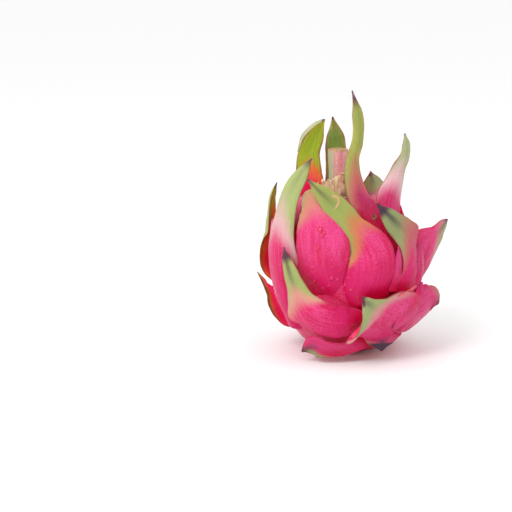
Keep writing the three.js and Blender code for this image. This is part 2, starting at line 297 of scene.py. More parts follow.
def grow(name, faces, spine, ripening, tint, margin, cup=BLADE_CUP, pulls=()):
    """Shape a copy of the sheet into one bract, in its place, with its colours noted on its faces."""
    bract = sheet.copy()
    bract.data = sheet.data.copy()
    bract.name = name
    bpy.context.collection.objects.link(bract)
    only(bract)
    bpy.ops.object.mode_set(mode="EDIT")
    cup_sheet(bract, cup)
    for drag in pulls:
        pull(bract, *drag)
    bpy.ops.object.mode_set(mode="OBJECT")
    line = make_spine(spine, faces)
    bract.rotation_mode = "QUATERNION"
    bract.rotation_quaternion = line.rotation_quaternion
    follow = bract.modifiers.new("along the spine", "CURVE")
    follow.object = line
    follow.deform_axis = "POS_X"
    apply_all(bract)
    bpy.ops.object.transform_apply(location=False, rotation=True, scale=False)
    bpy.data.objects.remove(line)
    for note, values in zip(NOTES, (ripening, tint, margin)):
        layer = bract.data.attributes.new(note, "FLOAT_VECTOR", "FACE")
        layer.data.foreach_set("vector", values * len(bract.data.polygons))
    bracts.append(bract)


# %% [markdown]
# ## The front pads
#
# Two bracts make the face of the fruit. The right one is a full pad whose green tongue sweeps over
# to the left; the left one is a plump oval that ends under that tongue.

# %% The front pads
grow("front_right_pad", (8, -8), [(7.1, 36.3, 27.6, 8), (13, 41.1, 36.1, 11.8), (17.5, 44, 45.1, 12.6),
    (19.8, 45.2, 54, 12.4), (18.5, 44.3, 61.2, 11.5), (14.3, 42.6, 66.9, 9.3), (8.3, 40.9, 71.9, 7.6),
    (1, 39.6, 79.7, 7), (-5.7, 38.8, 85.2, 5.9), (-13.2, 38.3, 90.4, 3.8), (-22.3, 37.8, 96.4, 0.4)],
    (0.55, 0.26, 0.11), (0.9, 0, 0.2), (0.93, 0.7, 0.2))
grow("front_left_pad", (-16, 5), [(-8.3, 36.4, 33.9, 7), (-11.9, 39.4, 41.8, 12), (-14.9, 41.4, 53.5, 14.5),
    (-14.8, 41.6, 66, 14.5), (-16.8, 38.9, 76.8, 12.8), (-21.6, 36, 83.4, 9.5), (-27.1, 33.1, 86.8, 6),
    (-31.1, 31, 89, 2.5)],
    (0.86, 0.44, 0), (0.8, 0.15, 0.4), (1.1, 0, 0.1))
print("front:", [bract.name for bract in bracts])

# %% [markdown]
# ## The left side
#
# A long waxy tongue stands up beside the pads, a short one crosses its foot below a rolled lip of
# skin, and behind them a thin hook and a spur show their red linings.

# %% The left side
grow("left_tongue", (-38, -10), [(-56.4, 34.4, 14, 6), (-54, 39.1, 28.1, 9.6), (-52, 42.2, 46, 11.6),
    (-49.7, 43.3, 61.9, 9), (-46.7, 40.9, 75.2, 6.8), (-42.7, 36.1, 89, 5.6), (-34.2, 32, 98, 3.8),
    (-22.9, 29, 106, 0.4)],
    (0.6, 0.32, -0.06), (0.2, 0.7, 0.1), (0.92, 0.3, 0.2), cup=0.4)
grow("low_left_tongue", (-22, -8), [(15.3, 34.2, 20.6, 6), (6.6, 39.3, 22.5, 7), (-2.1, 42, 22.7, 8.6),
    (-11.9, 44.5, 23.3, 9.6), (-21.1, 47.2, 26.8, 9.8), (-27.7, 48.6, 32.6, 8.6), (-32.6, 48.1, 41.7, 5.6),
    (-36.1, 47.6, 50.1, 4), (-38.7, 46.8, 57, 2.4), (-40.1, 45.7, 61.4, 0.4)],
    (0.61, 0.26, -0.04), (0.85, 0.3, 0.2), (0.86, 0.8, 0.3), cup=0.3,
    pulls=[(0.55, 1, (0.05, 0.6, 0.1), 0.5, "SHARP"), (0.47, 1, (0, -0.15, 0), 0.4, "SHARP"),
        (0.5, 0.3, (0, 0, 0.12), 0.7)])
grow("left_lip", (-12, 35), [(8.2, 38.9, 28.7, 2), (0.1, 39.3, 30.5, 3), (-7.6, 40.2, 32.9, 3.8),
    (-15.1, 41.4, 34.8, 3.3), (-21.4, 43, 36.6, 0.6)],
    (1.4, 0.2, 0), (0, 0.3, 0.6), (1.4, 0, 0), cup=0.2)
grow("left_hook", (-130, -5), [(-102, 37, 36, 8), (-103, 43.3, 43, 8.8), (-103, 44.2, 50, 8.6),
    (-103, 43.3, 55.5, 7.6), (-104, 42, 62, 6.5, 20), (-103, 40.2, 70, 5.3, 20), (-102, 38.7, 77, 4.1, 20),
    (-101, 36.5, 83, 2.9, 20), (-100.5, 33, 88.7, 0.4, 20)],
    (0.33, 0.45, -0.3), (1, 0.3, 0), (0.92, 0.2, 0.1), cup=0.55)
grow("low_left_spur", (-140, -20), [(-94, 29, 13.4, 8), (-96.5, 35.3, 17, 9), (-98.5, 40, 22.4, 8),
    (-99.5, 42.3, 27.7, 5), (-99, 44.3, 32, 2), (-99, 45.8, 35.4, 1.1), (-98.4, 48, 39.7, 0.4)],
    (0.58, 0.34, -0.4), (0.7, 0.2, 0.5), (0.97, 0, 0.9), cup=0.6)
print("with the left side:", len(bracts))

# %% [markdown]
# ## The right side
#
# Here the bracts stand out one behind another: a short folded tongue with a fold of skin on either
# side, a thick spur, and behind them a tall waxy tongue.

# %% The right side
grow("narrow_fold", (38, -5), [(36, 44, 38, 4), (38.5, 46, 47, 3.5), (39.5, 46.5, 56, 3),
    (39, 46, 62, 0.4)],
    (1.2, 0.3, 0), (0.3, 0.2, 0.9), (1.2, 0, 0.3))
grow("right_tongue", (40, -8), [(45.7, 44.3, 32.8, 7), (44.9, 46.6, 41.7, 6), (45.6, 48.6, 50.2, 4.8),
    (46, 48.9, 59.1, 5), (44.8, 47.5, 66.8, 6.2), (37.6, 45.4, 75, 5.6), (31.6, 44, 80.4, 2.9),
    (27, 43.2, 84.4, 0.4)],
    (0.55, 0.36, 0.14), (0.1, 0, 0.7), (0.84, 1, 0.3),
    pulls=[(0.59, -1, (0, -0.85, 0), 0.5, "SHARP"), (0.68, -1, (0, -0.25, 0), 0.4, "SHARP")])
grow("right_fold", (55, -5), [(52, 45.5, 37, 4), (58, 46, 44.5, 4.5), (61.5, 46, 53, 4), (63, 46, 61, 3),
    (62.5, 45.4, 65.6, 1)],
    (1.2, 0.3, 0), (0.3, 0.2, 0.9), (1.2, 0, 0.3))
grow("right_spur", (45, -15), [(69, 36.3, 33.1, 5), (69.6, 40.1, 40.8, 5.8), (70.3, 44.4, 48.5, 6.8),
    (71.2, 48.1, 56.1, 7.4), (72.4, 51.3, 62.4, 7.4), (73.9, 54, 67.1, 5.4), (74.9, 55.8, 70, 3.4),
    (75.9, 57.3, 72, 0.4)],
    (0.8, 0.36, -0.3), (0.1, 0.3, 0.5), (0.93, 0.6, 1), cup=0.2,
    pulls=[(0.64, 1, (0.5, 1.1, 0), 1), (0.77, 1, (0, 0.3, 0), 0.5)])
grow("right_back_tongue", (28, -5), [(58, 34, 50, 7), (55, 36, 62, 7), (53, 33.5, 73, 6.4),
    (57, 32.2, 82, 7.6), (62, 33.5, 90, 6.4), (66, 36, 98, 4.4), (68.5, 39.2, 105, 3.1),
    (68.5, 40.4, 111.5, 2.2), (68, 39.8, 117.3, 0.4)],
    (0.66, 0.38, 0), (0, 0.95, 0.8), (0.95, 0.2, 0.8))
print("with the right side:", len(bracts))

# %% [markdown]
# ## The crown
#
# Round the stump stand the youngest bracts, the greenest of all. The tallest one leads them, and the
# left one's edge is rolled over, which is a thin bract laid along it.

# %% The crown
grow("tall_tongue", (20, 0), [(42, 36, 38, 8), (38, 41.5, 52, 8), (33, 39.5, 67, 7.5), (25, 33, 81, 6.4),
    (23, 25, 91, 5.4), (26, 21, 102, 4), (40, 20, 114, 3.3), (44, 20, 126, 3), (41, 18, 139, 0.4)],
    (0.58, 0.28, 0.07), (0.3, -0.55, 0.1), (0.9, 0.1, 0.7))
grow("back_left_tongue", (-165, 10), [(-145, 30, 66, 8), (-144, 28, 80, 8.2), (-141.5, 25.5, 93, 7.4),
    (-142.5, 24.5, 103, 6.3), (-152, 21, 113, 4.6), (-164, 15.5, 121.2, 0.4)],
    (0.36, 0.3, 0), (1, 0.1, 0), (0.94, 0.2, 0.6))
grow("back_left_roll", (-15, 10), [(-129.9, 26.5, 103.1, 0.5), (-133.9, 24.6, 109, 1.3),
    (-138.9, 22.7, 113, 1.7), (-145.6, 20.6, 116.3, 1.7), (-152.4, 18, 118.9, 1.3),
    (-162.5, 15.5, 121.1, 0.4)],
    (-0.6, 0.8, 0), (0.2, 1.6, 0.9), (0.9, 0, 1), cup=0.1)
grow("back_tongue", (180, 10), [(180, 27, 74, 7), (180, 22, 86, 7), (179, 19, 102, 6), (178, 17, 113, 4.7),
    (180, 14, 122.5, 0.4)],
    (0.2, 0.2, 0), (0.6, 0.1, 0.8), (0.93, 0.2, 0.9))
grow("back_right_tab", (20, 0), [(146, 33, 62, 8), (143, 32, 76, 8), (142, 30, 84.5, 6.2),
    (139, 27, 92.5, 0.4)],
    (0.48, 0.4, 0), (0, 0.5, 0.5), (0.87, 0.6, 1))
print("with the crown:", len(bracts))

# %% [markdown]
# ## The foot
#
# Low down the bracts are broad and short. A collar lies across the front and a curl sits beside it,
# each with a rolled lip, a fold backs the curl, and a skirt and a small tip hang under them.

# %% The foot
grow("collar", (24, -12), [(34.8, 36.5, 13, 5), (27.4, 42.8, 20.2, 12), (22.9, 46.7, 27.1, 24),
    (17.7, 48.8, 31.3, 11.5), (13.4, 48.8, 34.7, 5.2), (9.5, 48.7, 37.2, 1.2)],
    (0.655, 0.24, 0.03), (0.2, 0.3, 0.6), (0.92, 0.6, 0.4), cup=0.02,
    pulls=[(0.66, -1, (0, 0.4, 0), 1.2), (0.88, -1, (0, 0.35, 0), 0.5),
        (0.97, 0.6, (-0.5, 0, 0), 0.8, "SHARP")])
grow("collar_lip", (-150, 25), [(14.4, 38.2, 26.8, 1.5), (22.2, 42.1, 30.7, 2.4), (30.3, 46.3, 33.8, 3),
    (37.8, 49.4, 37.7, 2.6), (46.1, 50.5, 41.3, 0.8)],
    (1.3, 0.9, -0.5), (0.7, 0, 0), (1.4, 0, 0), cup=0.3)
grow("curl_lip", (40, -10), [(55.3, 47.5, 38.8, 2), (50.9, 47.6, 33.6, 3.2), (43.4, 46.8, 27.2, 4),
    (37, 45.1, 21.8, 4), (34.9, 41.5, 17.7, 2)],
    (1.4, 0.2, 0), (0, 0.2, 0.6), (1.4, 0, 0), cup=0.2)
grow("low_right_fold", (48, -20), [(40, 40.7, 17, 5), (49, 43, 23, 5.5), (54.5, 44.7, 30, 5.5),
    (58, 45.5, 36, 3.5), (60, 46, 40.6, 1)],
    (1.2, 0.3, 0), (0.3, 0.2, 0.9), (1.2, 0, 0.3))
grow("low_right_curl", (48, -22), [(39.4, 38.8, 20.9, 7), (50.5, 40.9, 21.9, 12.4), (62.4, 43.2, 25, 14),
    (69.7, 46.2, 27.6, 11.4), (72.5, 48.2, 28.3, 7.4), (73.7, 49.9, 27.4, 1)],
    (0.98, 0.2, 0), (0, 0.1, 0.9), (0.93, 0.3, 0.8), cup=0.3)
grow("front_skirt", (-14, -6), [(28.5, 30.7, 12.8, 3), (16.7, 32.4, 11.3, 3), (4, 34.1, 9.2, 3.4),
    (-8.6, 36.4, 7.4, 3.8), (-19.8, 38.8, 7.7, 4.9), (-28.2, 39.7, 9, 6.1), (-34.3, 40, 7.6, 3.8),
    (-38.7, 41, 5.5, 0.4)],
    (0.9, 0.22, 0.29), (0, -0.2, 0.9), (0.9, 0.8, 1), cup=0.12)
grow("under_tip", (24, -10), [(32.9, 35.7, 20.9, 9), (28.7, 37.1, 17.3, 12), (27.2, 37.1, 13.2, 10.5),
    (26.4, 36.8, 9.5, 6.5), (26, 36.7, 6.3, 0.6)],
    (0.78, 0.2, 0), (0, -0.3, 1), (0.7, 1, 1), cup=0.15)
print("with the foot:", len(bracts))

# %% [markdown]
# ## The body, and the rings of plain bracts
#
# Under the bracts is the fruit's own body. It is drawn out ring by ring from a circle, as a potter
# raises a wall, up to the crown and down again into the navel where the flower grew.

# %% The body
BODY_PROFILE = [(8, 0), (18, 2.8), (27, 8), (33.5, 17), (37.2, 29), (38.6, 42), (38, 54), (35.5, 64),
    (31, 72.5), (25.5, 78.5), (20, 82), (15.5, 83.5), (12, 82.5), (9.5, 79)]
BODY_SIDES = 64

bpy.ops.object.select_all(action="DESELECT")
seat_radius, seat_height = BODY_PROFILE[0]
bpy.ops.mesh.primitive_circle_add(vertices=BODY_SIDES, radius=seat_radius * MM, fill_type="NGON",
    location=place(0, 0, seat_height))
body = bpy.context.object
body.name = "peel"
bpy.ops.object.transform_apply(location=True)
bpy.ops.object.mode_set(mode="EDIT")
bpy.ops.mesh.select_all(action="SELECT")
for (low_radius, low), (high_radius, high) in zip(BODY_PROFILE, BODY_PROFILE[1:]):
    rise = place(0, 0, high) - place(0, 0, low)
    bpy.ops.mesh.extrude_region_move(TRANSFORM_OT_translate={"value": rise})
    widen = high_radius / low_radius
    bpy.ops.transform.resize(value=(widen, widen, 1), center_override=place(0, 0, high))
bpy.ops.mesh.select_all(action="SELECT")
bpy.ops.mesh.normals_make_consistent(inside=False)
bpy.ops.object.mode_set(mode="OBJECT")
give_skins(body, CORE)
for note in NOTES:
    body.data.attributes.new(note, "FLOAT_VECTOR", "FACE")
print("the body has", faces_of(body), "triangles")


def body_radius(height):
    """The body's radius at a height."""
    for (low_radius, low), (high_radius, high) in zip(BODY_PROFILE, BODY_PROFILE[1:]):
        if height <= high:
            return low_radius + (high_radius - low_radius) * (height - low) / (high - low)
    return BODY_PROFILE[-1][0]


# %% [markdown]
# The other bracts differ little, so a rule makes them: a foot on the skin, a belly that stands off
# it, and a tip that leans out by its ring's flare. Each ring's bracts close the gaps of the ring
# below, as tiles do.

# %% The plain rings
# height, length, flare, half-width, pad, stand-off, and then azimuth and sideways lean of each bract
PLAIN_RINGS = [
    (8.5, 14, 58, 12, 9, 2.8, [(116, -3), (160, 4), (-158, -4), (-116, 3)]),
    (26, 25, 38, 16.5, 20, 3.4, [(133, 12), (177, -12), (-139, 10)]),
    (47, 31, 25, 16, 23, 3.4, [(153, 12), (-160, -12)]),
    (46, 15, 9, 15, 24, 3.2, [(110, 12), (-124, 4)]),
    (65, 16, 2, 14, 22, 2.8, [(140, 4)]),
    (65, 25, 2, 14, 22, 2.8, [(178, -12), (-138, -10)]),
    (52, 14, -6, 11, 20, 2.4, [(86, 10)]),
    (62, 15, -12, 13, 22, 2.4, [(-66, 16)]),
    (72, 15, -40, 11, 14, 2, [(18, 6), (108, 8), (152, 6), (-158, -8), (-108, 8)]),
]
FOOT_SUNK, FOOT_WIDTH, LOWEST_FOOT = 2.5, 0.6, 1
BELLY_DOWN, BELLY_SUNK, BELLY_WIDTH, LOWEST_BELLY = 0.45, 0.8, 0.95, 2
# steps towards the tip: shares of the length, of the flare and of the half-width
TIP_STEPS = ((0.3, 0.7, 0.62), (0.66, 1, 0.36), (1, 0.9, 0))
TIP_WIDTH = 0.4
WIDE_FLARE = 30
BACK_TILT, WIDE_TILT = -15, -35


def plain_spine(ring, azimuth, sideways):
    """The stations of a plain bract and the way its back looks."""
    height, length, flare, half_width, pad, stand_off = ring
    reach = body_radius(height) + stand_off
    foot = max(height - pad, LOWEST_FOOT)
    belly = max(height - BELLY_DOWN * pad, LOWEST_BELLY)
    stations = [
        (azimuth, body_radius(foot) - FOOT_SUNK, foot, FOOT_WIDTH * half_width),
        (azimuth, body_radius(belly) + stand_off - BELLY_SUNK, belly, BELLY_WIDTH * half_width),
        (azimuth, reach, height, half_width),
    ]
    for share, bent, narrowed in TIP_STEPS:
        lean = math.radians(flare * bent)
        stations.append((azimuth + sideways * share, reach + share * length * math.sin(lean),
            height + share * length * math.cos(lean), max(narrowed * half_width, TIP_WIDTH)))
    return stations, (azimuth, BACK_TILT if flare < WIDE_FLARE else WIDE_TILT)


# %% [markdown]
# Their colours are drawn by lot, within limits for each number of the three notes, so that they are
# much like their neighbours' and never the same. The seed makes the draw the same in every run.

# %% Growing the rings
COLOUR_LIMITS = (
    ((0.66, 0.82), (0.18, 0.3), (-0.06, 0.06)),
    ((0.2, 1), (-0.4, 0.6), (0.2, 0.9)),
    ((0.9, 0.96), (0, 0.8), (0.2, 0.7)),
)
SEED = 7


def plain_colours(dice):
    """The ripening, tint and margin of a plain bract."""
    return [tuple(dice.uniform(*limits) for limits in note) for note in COLOUR_LIMITS]


dice = random.Random(SEED)
for *ring, members in PLAIN_RINGS:
    for azimuth, sideways in members:
        stations, faces = plain_spine(ring, azimuth, sideways)
        grow(f"plain_{len(bracts)}", faces, stations, *plain_colours(dice))
print(len(bracts), "bracts in all")

# %% [markdown]
# ## Growing them together
#
# A real bract has no joint with the fruit. One Boolean union over a collection makes the body and
# all the bracts a single skin, with a clean crease wherever two of them meet.

# %% One grown body
def merge(piece, others, name):
    """Make a piece and all the others one skin, and clear the others away."""
    family = bpy.data.collections.new(name)
    bpy.context.scene.collection.children.link(family)
    for other in others:
        for home in list(other.users_collection):
            home.objects.unlink(other)
        family.objects.link(other)
    union = piece.modifiers.new(name, "BOOLEAN")
    union.operand_type = "COLLECTION"
    union.collection = family
    union.operation = "UNION"
    union.solver = "MANIFOLD"
    apply_all(piece)
    for other in others:
        bpy.data.objects.remove(other)
    bpy.data.collections.remove(family)


merge(body, bracts, "bracts")
bpy.data.objects.remove(sheet)
print("the peel has", faces_of(body), "triangles and", len(body.data.materials), "skins")

# %% [markdown]
# Nothing that grew is as even as a curve. So cloudy noise pushes the whole skin in and out by a few
# tenths of a millimetre.

# %% Lumps
LUMP_SIZE = 9 * MM
LUMP_HEIGHT = 1.1 * MM


def push_by_clouds(piece, name, size, height, depth):
    """Add a modifier that pushes a skin in and out by cloudy noise, and give back its texture."""
    clouds = bpy.data.textures.new(name, "CLOUDS")
    clouds.noise_scale = size
    clouds.noise_depth = depth
    push = piece.modifiers.new(name, "DISPLACE")
    push.texture = clouds
    push.texture_coords = "LOCAL"
    push.strength = height
    return clouds


lumps = push_by_clouds(body, "lumps", LUMP_SIZE, LUMP_HEIGHT, 1)
apply_all(body)
bpy.data.textures.remove(lumps)
print("the skin is lumpy by up to", round(LUMP_HEIGHT / 2 / MM, 2), "mm")

# %% [markdown]
# Small things sit on the skin: wet beads on the front pads, the scar that a spine leaves on a bract,
# and a curled shred of dry petal on the front tongue. Each is made of spheres, pressed flat and half
# sunk in, and the shred is a chain of them. Where the skin is at a given azimuth and height, a
# straight line shot at the fruit finds out.

# %% Beads, a scar and a shred
# azimuth, height and radius of each
WET_BEADS = [
    (-14, 71, 1.3), (-11.5, 69.5, 1), (-13, 67.5, 0.7), (-16, 62, 0.9), (-15, 60, 0.7),
    (-23, 51, 0.8), (-20.5, 49.5, 0.6), (-9, 46, 0.9), (-5, 45.5, 0.8), (0, 42.5, 0.8),
    (4, 40, 1), (-12, 42, 0.7), (-17, 40.5, 0.6), (9, 36.5, 0.7), (-7, 52, 0.6),
    (-3, 50, 0.5), (-22, 44, 0.6), (-26, 47, 0.5), (3, 46.5, 0.6), (-1, 38, 0.7),
]
SCARS = [(29.4, 76.2, 1.4)]
SHREDS = [
    (-3.4, 88, 0.5), (-2.4, 87.9, 0.6), (-1.2, 87.6, 0.6), (0, 87.4, 0.6), (0.8, 86.8, 0.6),
    (1, 86, 0.6), (0.8, 85.1, 0.6), (0.3, 84.3, 0.6), (-0.4, 83.5, 0.6), (-1.2, 82.8, 0.5),
    (-1.9, 82.1, 0.4),
]
# places, skin, and how far they rise for their radius
SPECKS = ((WET_BEADS, BEAD, 0.45), (SCARS, SCAR, 0.25), (SHREDS, SHRED, 0.4))
SPECK_LENGTH = 1.25
SPECK_SIDES = 14
SPECK_RINGS = 8
FAR_OUT = 90.0


def skin_at(azimuth, height):
    """Where the skin is at an azimuth and height, and which way it looks."""
    _, where, normal, _ = body.ray_cast(place(azimuth, FAR_OUT, height), -direction(azimuth, 0))
    return where, normal


def speck_on_skin(azimuth, height, radius, finish, rise):
    """A flat sphere, half sunk in the skin."""
    where, normal = skin_at(azimuth, height)
    bpy.ops.mesh.primitive_uv_sphere_add(segments=SPECK_SIDES, ring_count=SPECK_RINGS, radius=radius * MM,
        location=where, rotation=normal.to_track_quat("Z", "Y").to_euler(), scale=(1, SPECK_LENGTH, rise))
    speck = bpy.context.object
    bpy.ops.object.transform_apply(location=True, rotation=True, scale=True)
    give_skins(speck, finish)
    return speck


bpy.ops.object.select_all(action="DESELECT")
specks = [speck_on_skin(*spot, finish, rise) for spots, finish, rise in SPECKS for spot in spots]
print(len(specks), "specks settle in the skin")
merge(body, specks, "specks")

# %% [markdown]
# The fruit's weight has flattened it where it stands, so the foot is sliced level. The skin is then
# shaded smooth, but for the sharp creases between the bracts.

# %% The flat spot
PEEL_CREASE = 38

only(body)
bpy.ops.object.mode_set(mode="EDIT")
bpy.ops.mesh.select_all(action="SELECT")
bpy.ops.mesh.bisect(plane_co=(0, 0, 0), plane_no=(0, 0, 1), clear_inner=True, use_fill=True)
bpy.ops.object.mode_set(mode="OBJECT")
bpy.ops.object.shade_smooth_by_angle(angle=math.radians(PEEL_CREASE))
print("the foot stands at", round(min(vertex.co.z for vertex in body.data.vertices) / MM, 3), "mm")
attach(body, "root")
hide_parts("fruit")

# %% [markdown]
# ## The flower's stump
#
# The flower was cut off and left a fleshy stalk in the crown. A cylinder is cut into rings, so that
# its waist can be drawn in.

# %% The stump
STUMP_SIDES = 48
STUMP_RINGS = 12
WAIST_WIDTH = 0.93
WAIST_DOWN = 13.0
WAIST_REACH = 10.0

bpy.ops.object.select_all(action="DESELECT")
stump_radius = (stump_high.x - stump_low.x) / 2
stump_height = stump_high.z - stump_low.z
bpy.ops.mesh.primitive_cylinder_add(vertices=STUMP_SIDES, radius=stump_radius, depth=stump_height,
    location=(stump_low + stump_high) / 2)
stump = bpy.context.object
stump.name = "cut_stump"
bpy.ops.object.transform_apply(location=True)
bpy.ops.object.mode_set(mode="EDIT")
for ring in range(1, STUMP_RINGS):
    bpy.ops.mesh.select_all(action="SELECT")
    cut = Vector((0, 0, stump_low.z + stump_height * ring / STUMP_RINGS))
    bpy.ops.mesh.bisect(plane_co=cut, plane_no=(0, 0, 1))
waist = stump_high.z - WAIST_DOWN * MM
pick(stump, lambda co: abs(co.z - waist) < stump_height / STUMP_RINGS / 2)
bpy.ops.transform.resize(value=(WAIST_WIDTH, WAIST_WIDTH, 1), center_override=(stump_middle * MM),
    use_proportional_edit=True, proportional_edit_falloff="SMOOTH", proportional_size=WAIST_REACH * MM)
print("the stalk is", round(stump_height / MM, 1), "mm tall, with", STUMP_RINGS, "rings")

# %% [markdown]
# The end is inset and let down, step by step: first the drying rim, then the flesh inside it, and last a
# small deep heart, which the finish paints near-black as the shade in it. The rim's points are ruffled,
# because cut flesh dries unevenly.

# %% The cut end
TOP_SLACK = 0.1
# how far inwards and how far down each step goes
END_STEPS = ((0.7, 0.3), (0.6, 0.1), (1.6, 0.1), (0.8, 1.5))
RUFFLE, RUFFLE_DEPTH, RUFFLE_SEED = 0.45, 0.7, 3

print("the rim has", pick(stump, lambda co: co.z > stump_high.z - TOP_SLACK * MM), "points")
for inwards, down in END_STEPS:
    bpy.ops.mesh.inset(thickness=inwards * MM)
    bpy.ops.transform.translate(value=(0, 0, -down * MM))
pick(stump, lambda co: co.z > stump_high.z - RUFFLE_DEPTH * MM)
bpy.ops.transform.vertex_random(offset=RUFFLE * MM, seed=RUFFLE_SEED)
bpy.ops.object.mode_set(mode="OBJECT")
soft = stump.modifiers.new("soft", "SUBSURF")
soft.levels = soft.render_levels = 1
apply_all(stump)
bpy.ops.object.shade_smooth()
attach(stump, "root")
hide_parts("flower_stump")
print("the stump has", faces_of(stump), "triangles")

# %% [markdown]
# ## The dry scrap
#
# Round the stump's foot clings what is left of the petals, thin and brittle. An open ring is cut down
# to the arc that is still there, and its top edge is pulled up into torn points, one by one.

# %% The scrap
SCRAP_RADIUS = 8.2
SCRAP_OFFSET_X = -1.5
SCRAP_FLARE = 0.35
SCRAP_SIDES = 40
SCRAP_FOOT = 80.0
SCRAP_RIM = 85.5
SCRAP_ARC = (-120, 38)
# azimuth of each torn point, and how far it stands up
SCRAP_TEARS = [
    (-108, 0.5), (-90, 1.5), (-72, 5), (-54, 6), (-45, 6.5), (-36, 5), (-27, 6.5),
    (-18, 5.5), (-9, 7.5), (0, 8), (9, 10), (18, 9.5), (27, 4),
]
TEAR_REACH = 2.0
RIM_SLACK = 1.0

bpy.ops.object.select_all(action="DESELECT")
scrap_middle = Vector((stump_middle.x + SCRAP_OFFSET_X, stump_middle.y, (SCRAP_RIM + SCRAP_FOOT) / 2))
bpy.ops.mesh.primitive_cylinder_add(vertices=SCRAP_SIDES, radius=SCRAP_RADIUS * MM,
    depth=(SCRAP_RIM - SCRAP_FOOT) * MM, end_fill_type="NOTHING", location=scrap_middle * MM)
scrap = bpy.context.object
scrap.name = "dry_scrap"
bpy.ops.object.transform_apply(location=True)


def azimuth_at_stump(co):
    """The azimuth of a point as seen from the stump's own middle."""
    return math.degrees(math.atan2(co.x - stump_middle.x * MM, stump_middle.y * MM - co.y))


bpy.ops.object.mode_set(mode="EDIT")
pick(scrap, lambda co: not SCRAP_ARC[0] < azimuth_at_stump(co) < SCRAP_ARC[1])
bpy.ops.mesh.delete(type="VERT")
half_step = 180 / SCRAP_SIDES
rim_from = (SCRAP_RIM - RIM_SLACK) * MM
for azimuth, height in SCRAP_TEARS:
    pick(scrap, lambda co: co.z > rim_from and abs(azimuth_at_stump(co) - azimuth) <= half_step)
    flare = direction(azimuth, 0) * SCRAP_FLARE * height
    bpy.ops.transform.translate(value=(flare + Vector((0, 0, height))) * MM, use_proportional_edit=True,
        proportional_edit_falloff="SHARP", proportional_size=TEAR_REACH * MM)
print("the scrap has", len(SCRAP_TEARS), "torn points")

# %% [markdown]
# Then the sheet is crumpled. A fractal subdivision moves each new point a little, as drying does,
# noise adds the finer creases, and a thin wall makes paper of it.

# %% Crumpling it
FRACTAL_CUTS = 3
FRACTAL, FRACTAL_OUTWARDS, FRACTAL_SEED = 1.2, 0.75, 11
CRUMPLE_SIZE = 2.8 * MM
CRUMPLE_HEIGHT = 3.5 * MM
SCRAP_WALL = 0.45
SCRAP_CREASE = 50

bpy.ops.mesh.select_all(action="SELECT")
bpy.ops.mesh.subdivide(number_cuts=FRACTAL_CUTS, fractal=FRACTAL,
    fractal_along_normal=FRACTAL_OUTWARDS, seed=FRACTAL_SEED)
bpy.ops.object.mode_set(mode="OBJECT")
finer = scrap.modifiers.new("finer", "SUBSURF")
finer.subdivision_type = "SIMPLE"
finer.levels = finer.render_levels = 1
creases = push_by_clouds(scrap, "creases", CRUMPLE_SIZE, CRUMPLE_HEIGHT, 2)
paper = scrap.modifiers.new("paper", "SOLIDIFY")
paper.thickness = SCRAP_WALL * MM
apply_all(scrap)
bpy.data.textures.remove(creases)
bpy.ops.object.shade_smooth_by_angle(angle=math.radians(SCRAP_CREASE))
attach(scrap, "root")
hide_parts("dry_flower_scrap")
print("the scrap has", faces_of(scrap), "triangles")

# %% [markdown]
# ## Mixing the finishes
#
# A finish is a small tree of nodes. A few helpers keep the recipes short: they turn a painter's hex
# colour into the linear light that the shader works in, add a node, and feed a node or the shader
# with plain values or with other nodes' outputs.

# %% Paint and wires
def paint(code):
    """A hex colour as linear red, green, blue and alpha."""
    steps = [int(code[i:i + 2], 16) / 255 for i in (1, 3, 5)]
    return tuple(c / 12.92 if c <= 0.04045 else ((c + 0.055) / 1.055) ** 2.4 for c in steps) + (1,)


def feed(tree, node, inputs):
    """Give each named input of a node its plain value, or a wire from another node's output."""
    for socket, value in inputs.items():
        if isinstance(value, bpy.types.NodeSocket):
            tree.links.new(value, node.inputs[socket])
        else:
            node.inputs[socket].default_value = value


def wire(tree, kind, inputs, output=0, **settings):
    """Add a node to a tree, feed its inputs, and give back one of its outputs."""
    node = tree.nodes.new(kind)
    for name, value in settings.items():
        setattr(node, name, value)
    feed(tree, node, inputs)
    return node.outputs[output]


def tree_of(skin):
    """The node tree of a material, switched on."""
    skin.use_nodes = True
    return skin.node_tree


def shade(tree, inputs):
    """Feed the shader that a new tree comes with."""
    feed(tree, tree.nodes["Principled BSDF"], inputs)


print("a middle grey in linear light:", [round(c, 3) for c in paint("#808080")])

# %% [markdown]
# Most of a recipe is laying one colour over another, where some measure of the surface rises from
# one number to another. The measure is often noise, which can be drawn out one way, as fibres are.

# %% Layers and noises
def math_node(tree, operation, *values):
    """One sum on numbers that vary over the surface."""
    return wire(tree, "ShaderNodeMath", dict(enumerate(values)), operation=operation)


def blend(tree, share, under, over):
    """Lay one colour over another by a share from 0 to 1."""
    return wire(tree, "ShaderNodeMix", {0: share, 6: under, 7: over}, 2, data_type="RGBA")


def ramp(tree, value, low, high, bottom=0.0, top=1.0):
    """A soft step that rises as the value goes from low to high."""
    inputs = {"Value": value, "From Min": low, "From Max": high, "To Min": bottom, "To Max": top}
    return wire(tree, "ShaderNodeMapRange", inputs, interpolation_type="SMOOTHSTEP")


def lay(tree, under, over, value, low, high, most=1.0):
    """Lay one colour over another as the value goes from low to high, and no stronger than most."""
    return blend(tree, ramp(tree, value, low, high, 0.0, most), under, over)


def noise(tree, where, scale, detail=2.0, rough=0.5):
    """Cloudy grey noise, with a scale in cells for each unit, which is a metre in space."""
    inputs = {"Vector": where, "Scale": scale, "Detail": detail, "Roughness": rough}
    return wire(tree, "ShaderNodeTexNoise", inputs)


def stretched(tree, where, stretch, scale, detail=3, rough=0.5):
    """Noise whose cells are drawn out, by more or fewer of them along each axis."""
    drawn = wire(tree, "ShaderNodeMapping", {"Vector": where, "Scale": stretch})
    return noise(tree, drawn, scale, detail, rough)
